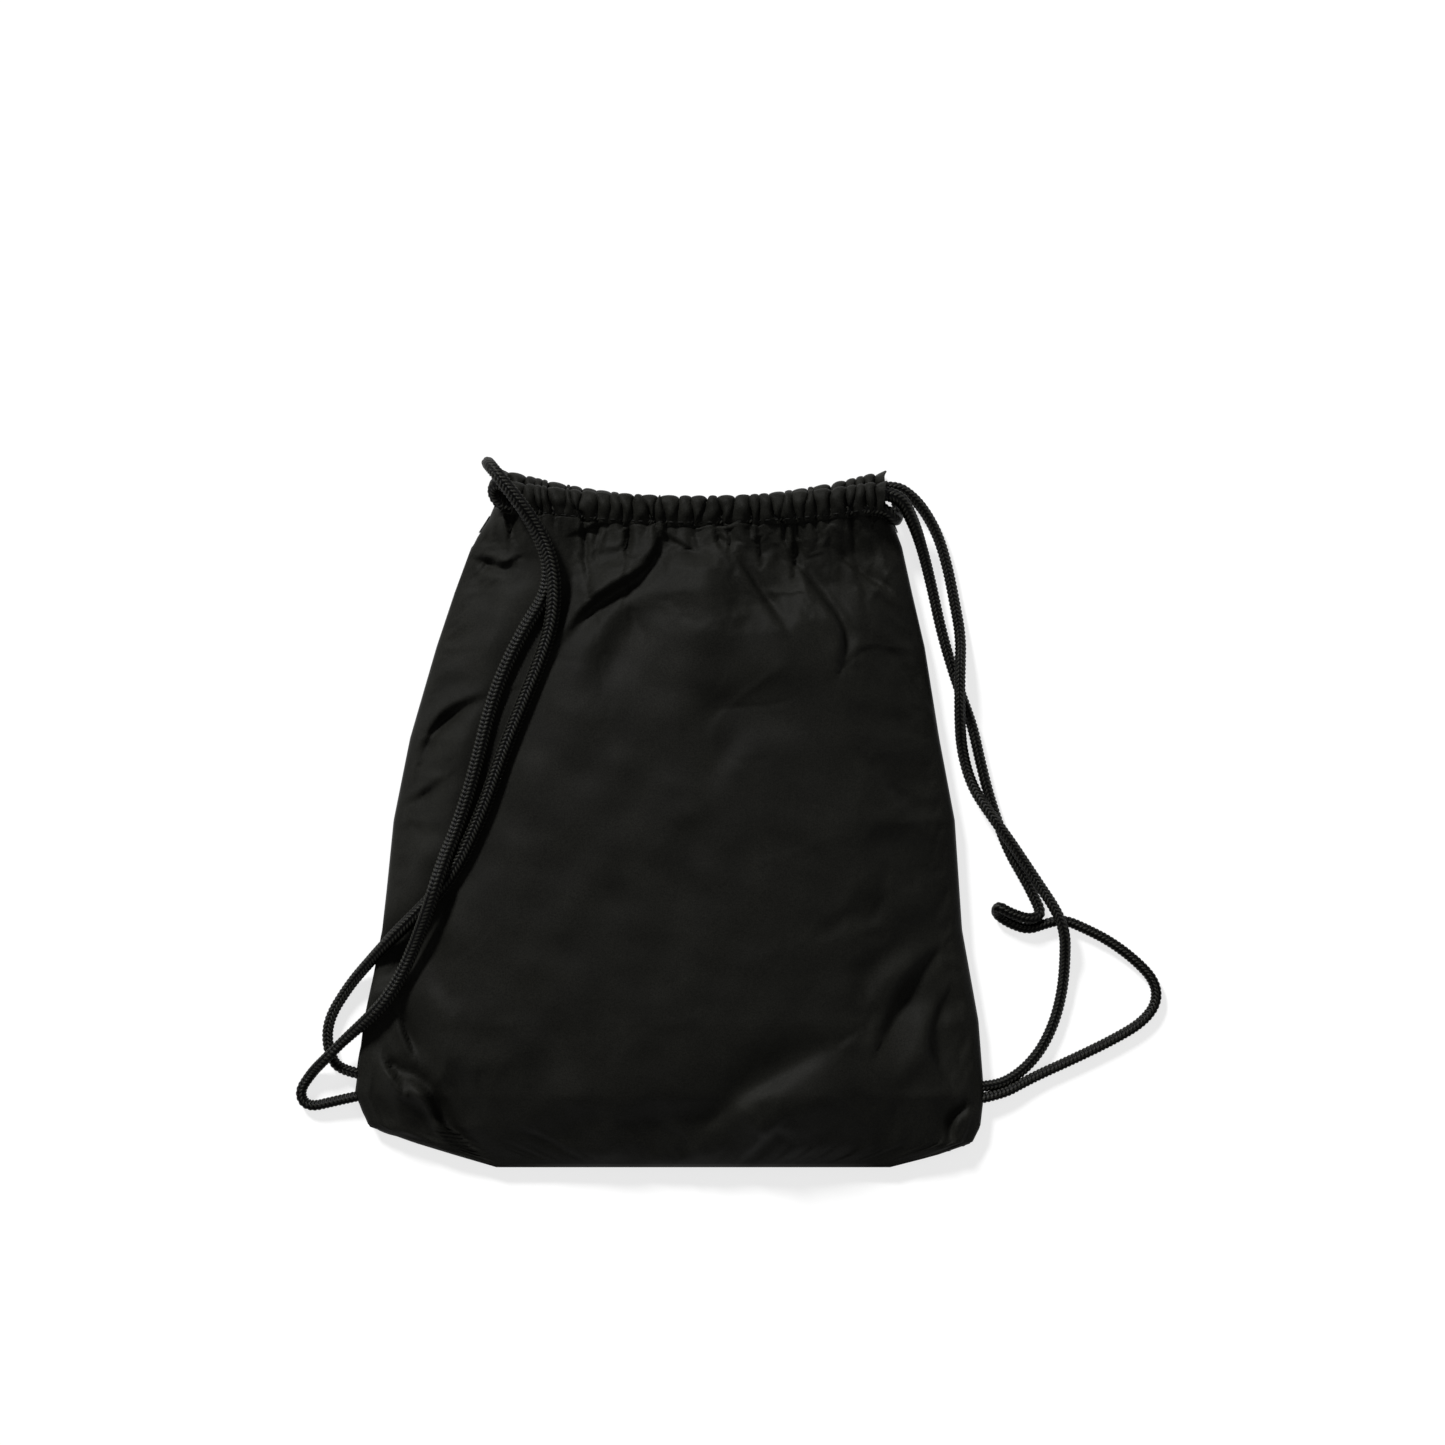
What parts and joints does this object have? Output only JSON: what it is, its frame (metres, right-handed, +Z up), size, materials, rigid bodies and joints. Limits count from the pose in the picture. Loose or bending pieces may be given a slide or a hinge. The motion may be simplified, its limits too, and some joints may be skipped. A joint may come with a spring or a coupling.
{
  "type": "drawstring backpack",
  "caption": "Soft black drawstring backpack lying on its back, with a gathered mouth and braided cords that serve as closure and shoulder straps.",
  "frame": {"origin": "centre of the bag's own plan, on the surface it lies on; the cords are left out of that plan", "axes": "+Z up out of the front panel, +Y from the bottom seam to the mouth, +X to the right seen from above"},
  "size_m": [0.4778, 0.3891, 0.046],
  "materials": {
    "bag_cloth": "matte",
    "cord": "satin",
    "thread": "satin",
    "binding": "matte"
  },
  "bodies": {
    "bag": {"back_panel": "bag_cloth", "front_panel": "bag_cloth", "back_casing": "bag_cloth", "back_casing_stitching": "thread", "left_side_seam": "binding", "right_side_seam": "binding", "bottom_seam": "binding", "left_anchor_tack": "thread", "right_anchor_tack": "thread", "mouth_tacks": "thread", "left_cord_front_lower": "cord", "left_cord_back_run": "cord", "left_cord_side_lower": "cord", "right_cord_outer_strand": "cord", "right_cord_inner_strand": "cord"},
    "lip": {"front_lip": "bag_cloth", "front_casing": "bag_cloth", "front_casing_stitching": "thread", "left_cord_front_upper": "cord", "left_cord_front_run": "cord", "right_cord_front_run": "cord"}
  },
  "joints": [
    {"name": "mouth_open", "type": "hinge", "parent": "bag", "child": "lip", "pos_m": [0, 0.075, 0.046], "axis": [1, 0, 0], "range_deg": [0, 20]}
  ]
}
